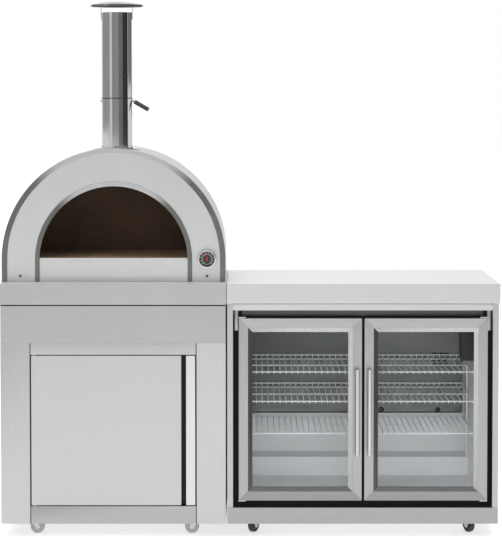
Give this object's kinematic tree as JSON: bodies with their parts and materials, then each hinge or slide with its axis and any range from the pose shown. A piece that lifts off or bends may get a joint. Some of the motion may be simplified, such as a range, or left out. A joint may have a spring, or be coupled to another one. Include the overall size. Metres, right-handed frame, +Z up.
{
  "type": "outdoor kitchen",
  "caption": "Freestanding stainless outdoor kitchen: an arched wood-fired oven with a chimney on a wheeled cart, beside a wheeled counter with a glass-door fridge.",
  "frame": {"origin": "on the floor, under the middle of the whole object", "axes": "+X to the right seen from the front, +Y to the back, +Z up"},
  "size_m": [1.7474, 0.655, 1.882],
  "materials": {
    "brushed_steel": "brushed stainless sheet",
    "polished_steel": "polished stainless",
    "sooty_steel": "heat-stained steel",
    "firebrick": "fired brick",
    "insulation": "ceramic fibre",
    "dark_trim": "satin grey",
    "clear_glass": "clear",
    "red_needle": "red",
    "steel_hardware": "bright zinc",
    "dark_grip": "satin black",
    "black_case": "black",
    "bright_liner": "bright sheet",
    "dark_panel": "dark grey",
    "black_plastic": "black",
    "chromed_wire": "chromed",
    "gasket": "black",
    "zinc_caster": "zinc plated",
    "grey_wheel": "grey",
    "black_wheel": "black"
  },
  "bodies": {
    "cabinet": {"arch_trims": "dark_trim", "cart_counter": "brushed_steel", "cart_door_hardware": "steel_hardware", "cart_face_frame": "brushed_steel", "cart_fascia": "brushed_steel", "cart_wrapper": "brushed_steel", "caster_mounts": "zinc_caster", "chimney_cap": "polished_steel", "chimney_pipe": "polished_steel", "condensing_unit": "black_case", "controller_box": "dark_panel", "cord_gland": "black_plastic", "dome_insulation": "insulation", "door_hinge_brackets": "steel_hardware", "evaporator_cover": "dark_panel", "fan_motor": "steel_hardware", "floor_pans": "brushed_steel", "flue_collar": "brushed_steel", "fridge_case": "black_plastic", "fridge_counter": "brushed_steel", "fridge_liner": "bright_liner", "fridge_plinth": "black_case", "fridge_rails": "brushed_steel", "fridge_wrapper": "brushed_steel", "hearth_tiles": "firebrick", "inner_dome": "sooty_steel", "mouth_sill": "brushed_steel", "outer_shell": "brushed_steel", "oven_base_pan": "polished_steel", "oven_front_panel": "brushed_steel", "shelf_standards": "chromed_wire", "thermometer_case": "polished_steel", "thermometer_lens": "clear_glass", "wire_shelves": "chromed_wire"},
    "cart_door": {"cart_door": "brushed_steel", "cart_door_pull": "brushed_steel"},
    "left_door": {"left_door_frame": "brushed_steel", "left_door_glass": "clear_glass", "left_door_gasket": "gasket", "left_door_handle": "polished_steel"},
    "right_door": {"right_door_frame": "brushed_steel", "right_door_glass": "clear_glass", "right_door_gasket": "gasket", "right_door_handle": "polished_steel"},
    "damper": {"damper_flap": "steel_hardware", "damper_grip": "dark_grip"},
    "needle": {"thermometer_needle": "red_needle"},
    "fan": {"evaporator_fan": "black_plastic"},
    "fork_cart_left": {"caster_fork_cart_left": "zinc_caster"},
    "front_wheel_cart_left": {"caster_wheel_front_cart_left": "grey_wheel"},
    "rear_wheel_cart_left": {"caster_wheel_rear_cart_left": "grey_wheel"},
    "fork_cart_right": {"caster_fork_cart_right": "zinc_caster"},
    "front_wheel_cart_right": {"caster_wheel_front_cart_right": "grey_wheel"},
    "rear_wheel_cart_right": {"caster_wheel_rear_cart_right": "grey_wheel"},
    "fork_fridge_left": {"caster_fork_fridge_left": "zinc_caster"},
    "front_wheel_fridge_left": {"caster_wheel_front_fridge_left": "black_wheel"},
    "rear_wheel_fridge_left": {"caster_wheel_rear_fridge_left": "black_wheel"},
    "fork_fridge_right": {"caster_fork_fridge_right": "zinc_caster"},
    "front_wheel_fridge_right": {"caster_wheel_front_fridge_right": "black_wheel"},
    "rear_wheel_fridge_right": {"caster_wheel_rear_fridge_right": "black_wheel"}
  },
  "joints": [
    {"name": "cart_door_hinge", "type": "hinge", "parent": "cabinet", "child": "cart_door", "pos_m": [-0.75325, -0.2805, 0.1125], "axis": [0, 0, -1], "range_deg": [0, 110]},
    {"name": "left_door_hinge", "type": "hinge", "parent": "cabinet", "child": "left_door", "pos_m": [-0.02575, -0.2685, 0.129], "axis": [0, 0, -1], "range_deg": [0, 105]},
    {"name": "right_door_hinge", "type": "hinge", "parent": "cabinet", "child": "right_door", "pos_m": [0.81925, -0.2685, 0.129], "axis": [0, 0, 1], "range_deg": [0, 105]},
    {"name": "damper_turn", "type": "hinge", "parent": "cabinet", "child": "damper", "pos_m": [-0.47775, 0.0075, 1.526], "axis": [-1, 0, 0], "range_deg": [0, 90]},
    {"name": "needle_turn", "type": "hinge", "parent": "cabinet", "child": "needle", "pos_m": [-0.14975, -0.2285, 0.972], "axis": [0, 1, 0], "range_deg": [-135, 135]},
    {"name": "fan_spin", "type": "hinge", "parent": "cabinet", "child": "fan", "pos_m": [0.70775, 0.22, 0.565], "axis": [0, 1, 0], "continuous": true},
    {"name": "swivel_cart_left", "type": "hinge", "parent": "cabinet", "child": "fork_cart_left", "pos_m": [-0.76975, -0.2085, 0.066], "axis": [0, 0, 1], "continuous": true},
    {"name": "roll_front_cart_left", "type": "hinge", "parent": "fork_cart_left", "child": "front_wheel_cart_left", "pos_m": [-0.74975, -0.2085, 0.025], "axis": [0, 1, 0], "continuous": true},
    {"name": "roll_rear_cart_left", "type": "hinge", "parent": "cabinet", "child": "rear_wheel_cart_left", "pos_m": [-0.76975, 0.2335, 0.025], "axis": [1, 0, 0], "continuous": true},
    {"name": "swivel_cart_right", "type": "hinge", "parent": "cabinet", "child": "fork_cart_right", "pos_m": [-0.18355, -0.2085, 0.066], "axis": [0, 0, 1], "continuous": true},
    {"name": "roll_front_cart_right", "type": "hinge", "parent": "fork_cart_right", "child": "front_wheel_cart_right", "pos_m": [-0.20355, -0.2085, 0.025], "axis": [0, -1, 0], "continuous": true},
    {"name": "roll_rear_cart_right", "type": "hinge", "parent": "cabinet", "child": "rear_wheel_cart_right", "pos_m": [-0.18355, 0.2335, 0.025], "axis": [1, 0, 0], "continuous": true},
    {"name": "swivel_fridge_left", "type": "hinge", "parent": "cabinet", "child": "fork_fridge_left", "pos_m": [0.00255, -0.2085, 0.066], "axis": [0, 0, 1], "continuous": true},
    {"name": "roll_front_fridge_left", "type": "hinge", "parent": "fork_fridge_left", "child": "front_wheel_fridge_left", "pos_m": [0.01402, -0.19212, 0.025], "axis": [-0.8192, 0.5736, 0], "continuous": true},
    {"name": "roll_rear_fridge_left", "type": "hinge", "parent": "cabinet", "child": "rear_wheel_fridge_left", "pos_m": [0.00255, 0.2335, 0.025], "axis": [1, 0, 0], "continuous": true},
    {"name": "swivel_fridge_right", "type": "hinge", "parent": "cabinet", "child": "fork_fridge_right", "pos_m": [0.78875, -0.2085, 0.066], "axis": [0, 0, 1], "continuous": true},
    {"name": "roll_front_fridge_right", "type": "hinge", "parent": "fork_fridge_right", "child": "front_wheel_fridge_right", "pos_m": [0.77728, -0.19212, 0.025], "axis": [-0.8192, -0.5736, 0], "continuous": true},
    {"name": "roll_rear_fridge_right", "type": "hinge", "parent": "cabinet", "child": "rear_wheel_fridge_right", "pos_m": [0.78875, 0.2335, 0.025], "axis": [1, 0, 0], "continuous": true}
  ]
}
